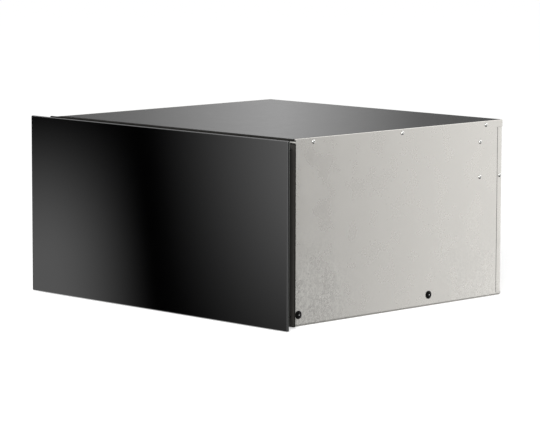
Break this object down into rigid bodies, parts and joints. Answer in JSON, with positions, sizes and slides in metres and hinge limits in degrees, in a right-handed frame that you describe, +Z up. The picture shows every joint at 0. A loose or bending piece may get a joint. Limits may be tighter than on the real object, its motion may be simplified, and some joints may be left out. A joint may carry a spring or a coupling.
{
  "type": "built-in warming drawer",
  "caption": "Built-in warming drawer: steel casing with a black frame, a handleless black glass front on a push-to-open drawer, full-extension runners, glass hotplate and fan.",
  "frame": {"origin": "centre of the casing's underside, where the base pan rests in the niche", "axes": "+Z up, -Y out of the front towards the user, +X to the right of someone facing the front"},
  "size_m": [0.595, 0.5272, 0.291],
  "materials": {
    "galvanised_steel": "galvanised, satin, faintly mottled",
    "top_steel": "plain steel sheet, satin",
    "black_paint": "satin black powder coat",
    "black_glass": "opaque black tempered glass, polished",
    "stainless": "brushed",
    "hotplate_glass": "opaque dark ceramic glass",
    "black_rubber": "matt silicone",
    "black_plastic": "fine spark texture",
    "white_plastic": "moulded",
    "amber_lens": "clear amber lens",
    "heater_steel": "heat tinted sheath",
    "zinc_steel": "zinc plated",
    "black_screw": "black zinc",
    "insulation": "mineral wool board",
    "board_green": "solder masked board"
  },
  "bodies": {
    "casing": {"base_pan": "galvanised_steel", "side_panel_left": "galvanised_steel", "side_panel_right": "galvanised_steel", "top_plate": "top_steel", "rear_panel": "galvanised_steel", "front_frame": "black_paint", "rivet_front_left": "zinc_steel", "rivet_middle_left": "zinc_steel", "rivet_rear_left": "zinc_steel", "rivet_front_right": "zinc_steel", "rivet_middle_right": "zinc_steel", "rivet_rear_right": "zinc_steel", "runner_screw_front_left": "black_screw", "runner_screw_rear_left": "black_screw", "runner_screw_front_right": "black_screw", "runner_screw_rear_right": "black_screw", "runner_cabinet_left": "zinc_steel", "runner_cabinet_right": "zinc_steel", "air_baffle": "galvanised_steel", "ring_heater": "heater_steel", "fan_motor": "black_plastic", "motor_bracket": "zinc_steel", "thermostat": "white_plastic", "control_board": "board_green", "mains_inlet": "black_plastic", "terminal_box": "white_plastic", "latch_housing": "black_plastic"},
    "drawer": {"runner_drawer_left": "zinc_steel", "runner_drawer_right": "zinc_steel", "glass_front": "black_glass", "front_carrier": "black_paint", "front_inner_panel": "stainless", "front_seal": "black_rubber", "front_bracket_left": "galvanised_steel", "front_bracket_right": "galvanised_steel", "drawer_floor": "galvanised_steel", "drawer_back": "galvanised_steel", "drawer_side_left": "stainless", "drawer_side_right": "stainless", "liner_left": "stainless", "liner_right": "stainless", "liner_front": "stainless", "liner_back": "stainless", "hotplate_support": "stainless", "glass_hotplate": "hotplate_glass", "base_heater": "heater_steel", "heat_reflector": "stainless", "base_insulation": "insulation", "control_ledge": "stainless", "selector_switch": "white_plastic", "indicator_lens": "amber_lens", "latch_striker": "black_rubber"},
    "runner_left": {"runner_middle_left": "zinc_steel"},
    "runner_right": {"runner_middle_right": "zinc_steel"},
    "knob": {"control_knob": "black_plastic", "knob_shaft": "zinc_steel"},
    "fan": {"fan_wheel": "zinc_steel", "fan_shaft": "zinc_steel"},
    "latch": {"latch_plunger": "white_plastic"}
  },
  "joints": [
    {"name": "drawer_slide", "type": "slide", "parent": "casing", "child": "drawer", "axis": [0, -1, 0], "range_m": [-0.003, 0.4]},
    {"name": "runner_left_slide", "type": "slide", "parent": "casing", "child": "runner_left", "axis": [0, -1, 0], "range_m": [-0.0015, 0.2]},
    {"name": "runner_right_slide", "type": "slide", "parent": "casing", "child": "runner_right", "axis": [0, -1, 0], "range_m": [-0.0015, 0.2]},
    {"name": "knob_turn", "type": "hinge", "parent": "drawer", "child": "knob", "pos_m": [0.185, -0.2359, 0.243], "axis": [0, 0, -1], "range_deg": [0, 240]},
    {"name": "fan_spin", "type": "hinge", "parent": "casing", "child": "fan", "pos_m": [0, 0.2, 0.15], "axis": [0, 1, 0], "continuous": true},
    {"name": "latch_push", "type": "slide", "parent": "casing", "child": "latch", "axis": [0, 1, 0], "range_m": [0, 0.004], "stiffness_N_per_m": 900}
  ],
  "couplings": [
    {"joint": "runner_left_slide", "follows": "drawer_slide", "ratio": 0.5},
    {"joint": "runner_right_slide", "follows": "drawer_slide", "ratio": 0.5}
  ]
}
